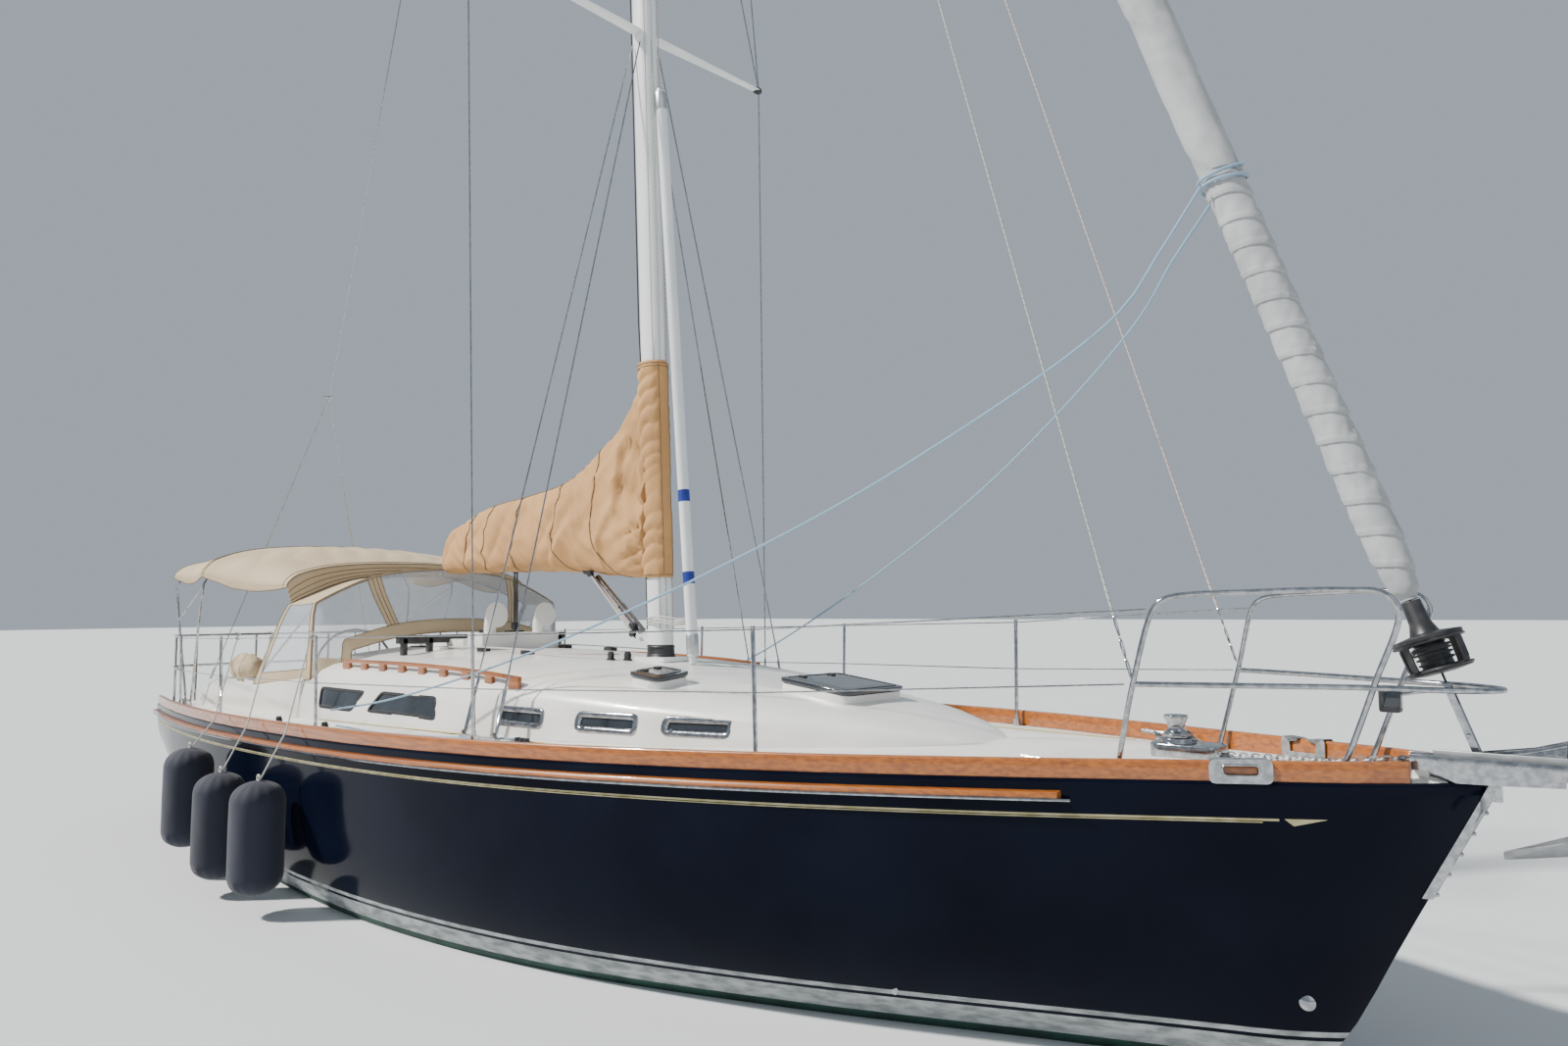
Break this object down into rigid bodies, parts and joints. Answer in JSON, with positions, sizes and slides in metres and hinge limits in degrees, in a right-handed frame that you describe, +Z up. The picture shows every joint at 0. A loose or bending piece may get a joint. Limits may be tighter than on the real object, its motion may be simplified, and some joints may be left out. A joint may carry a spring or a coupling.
{
  "type": "sailing yacht, keeled cruising sloop",
  "caption": "Cruising sloop of about twelve metres with coachroof, fin keel, mast and stays, furled headsail, covered boom, spray hood, awning and working rudder, wheel and hatches.",
  "frame": {"origin": "on the water plane amidships, on the centreline", "axes": "+X to the bow, +Y to port, +Z up"},
  "size_m": [12.4865, 4.4983, 20.46],
  "materials": {
    "navy_gelcoat": "gloss navy gelcoat topsides",
    "white_gelcoat": "off-white gelcoat",
    "teak": "varnished teak",
    "stainless": "polished stainless steel",
    "galvanised": "galvanised steel",
    "white_paint": "white painted alloy",
    "bare_alloy": "anodised alloy",
    "canvas": "tan acrylic canvas",
    "sailcloth": "light grey sailcloth",
    "black_plastic": "black plastic and black anodised alloy",
    "smoked_acrylic": "smoked acrylic in an alloy frame",
    "fender_cover": "navy knitted covers",
    "antifouling": "dark green antifouling paint",
    "bronze": "dull bronze",
    "engine_iron": "painted cast iron",
    "grey_plastic": "grey flexible plastic"
  },
  "bodies": {
    "yacht": {"hull": "navy_gelcoat", "deck": "white_gelcoat", "coachroof": "white_gelcoat", "cockpit": "white_gelcoat", "washboard": "teak", "engine_block": "engine_iron", "keel": "antifouling", "shaft_bracket": "bronze", "toe_rail_starboard": "teak", "toe_rail_port": "teak", "rub_strake_starboard": "teak", "rub_strake_port": "teak", "stem_fitting": "stainless", "anchor": "galvanised", "windlass": "bare_alloy", "pulpit": "stainless", "lifelines_starboard": "stainless", "lifelines_port": "stainless", "pushpit": "stainless", "mast": "white_paint", "lower_spreader_starboard": "white_paint", "lower_spreader_port": "white_paint", "upper_spreader_starboard": "white_paint", "upper_spreader_port": "white_paint", "shrouds_starboard": "stainless", "shrouds_port": "stainless", "backstay": "stainless", "forestay": "stainless", "mast_collar": "canvas", "spinnaker_pole": "white_paint", "mainsheet_traveller": "black_plastic", "cowl_vents": "grey_plastic", "grab_rail_starboard": "teak", "grab_rail_port": "teak", "steering_pedestal": "white_paint", "spray_hood": "canvas", "awning": "canvas", "awning_frame": "stainless", "fender_aft": "fender_cover", "fender_middle": "fender_cover", "fender_forward": "fender_cover", "bow_cleat_starboard": "stainless", "bow_cleat_port": "stainless", "stern_cleat_starboard": "stainless", "stern_cleat_port": "stainless"},
    "boom": {"boom": "bare_alloy", "sail_cover": "canvas", "boom_vang": "stainless"},
    "rudder": {"rudder": "antifouling"},
    "steering_wheel": {"steering_wheel": "stainless"},
    "propeller": {"propeller": "bronze"},
    "furler": {"furler_drum": "black_plastic", "furled_genoa": "sailcloth"},
    "windlass_drum": {"windlass_drum": "bare_alloy"},
    "winch_drum_starboard": {"winch_drum_starboard": "stainless"},
    "winch_drum_port": {"winch_drum_port": "stainless"},
    "fore_hatch": {"fore_hatch_lid": "smoked_acrylic"},
    "mid_hatch": {"mid_hatch_lid": "smoked_acrylic"},
    "companion_hatch": {"companion_hatch": "white_gelcoat"}
  },
  "joints": [
    {"name": "boom_swing", "type": "hinge", "parent": "yacht", "child": "boom", "pos_m": [0.64, 0, 2.56], "axis": [0, 0, 1], "range_deg": [-72, 72]},
    {"name": "rudder_turn", "type": "hinge", "parent": "yacht", "child": "rudder", "pos_m": [-4.65, 0, -0.5], "axis": [0, 0, 1], "range_deg": [-35, 35]},
    {"name": "wheel_turn", "type": "hinge", "parent": "yacht", "child": "steering_wheel", "pos_m": [-4.2, 0, 1.5], "axis": [1, 0, 0], "range_deg": [-280, 280]},
    {"name": "propeller_spin", "type": "hinge", "parent": "yacht", "child": "propeller", "pos_m": [-3, 0, -0.725], "axis": [0.9903, 0, 0.1386], "continuous": true},
    {"name": "furler_turn", "type": "hinge", "parent": "yacht", "child": "furler", "pos_m": [6.1, 0, 1.475], "axis": [-0.3227, 0, 0.9465], "continuous": true},
    {"name": "windlass_turn", "type": "hinge", "parent": "yacht", "child": "windlass_drum", "pos_m": [4.83, -0.06, 1.5], "axis": [0, 0, 1], "continuous": true},
    {"name": "starboard_winch_turn", "type": "hinge", "parent": "yacht", "child": "winch_drum_starboard", "pos_m": [-3.85, -1.17, 1.55], "axis": [0, 0, 1], "continuous": true},
    {"name": "port_winch_turn", "type": "hinge", "parent": "yacht", "child": "winch_drum_port", "pos_m": [-3.85, 1.17, 1.55], "axis": [0, 0, 1], "continuous": true},
    {"name": "fore_hatch_lift", "type": "hinge", "parent": "yacht", "child": "fore_hatch", "pos_m": [2.925, 0, 1.61], "axis": [0, 1, 0], "range_deg": [0, 95]},
    {"name": "mid_hatch_lift", "type": "hinge", "parent": "yacht", "child": "mid_hatch", "pos_m": [1.81, -0.7, 1.694], "axis": [0.011, 0.994, 0.109], "range_deg": [0, 95]},
    {"name": "companion_slide", "type": "slide", "parent": "yacht", "child": "companion_hatch", "axis": [1, 0, 0], "range_m": [0, 0.5]}
  ],
  "couplings": [
    {"joint": "wheel_turn", "follows": "rudder_turn", "ratio": 7.8}
  ]
}
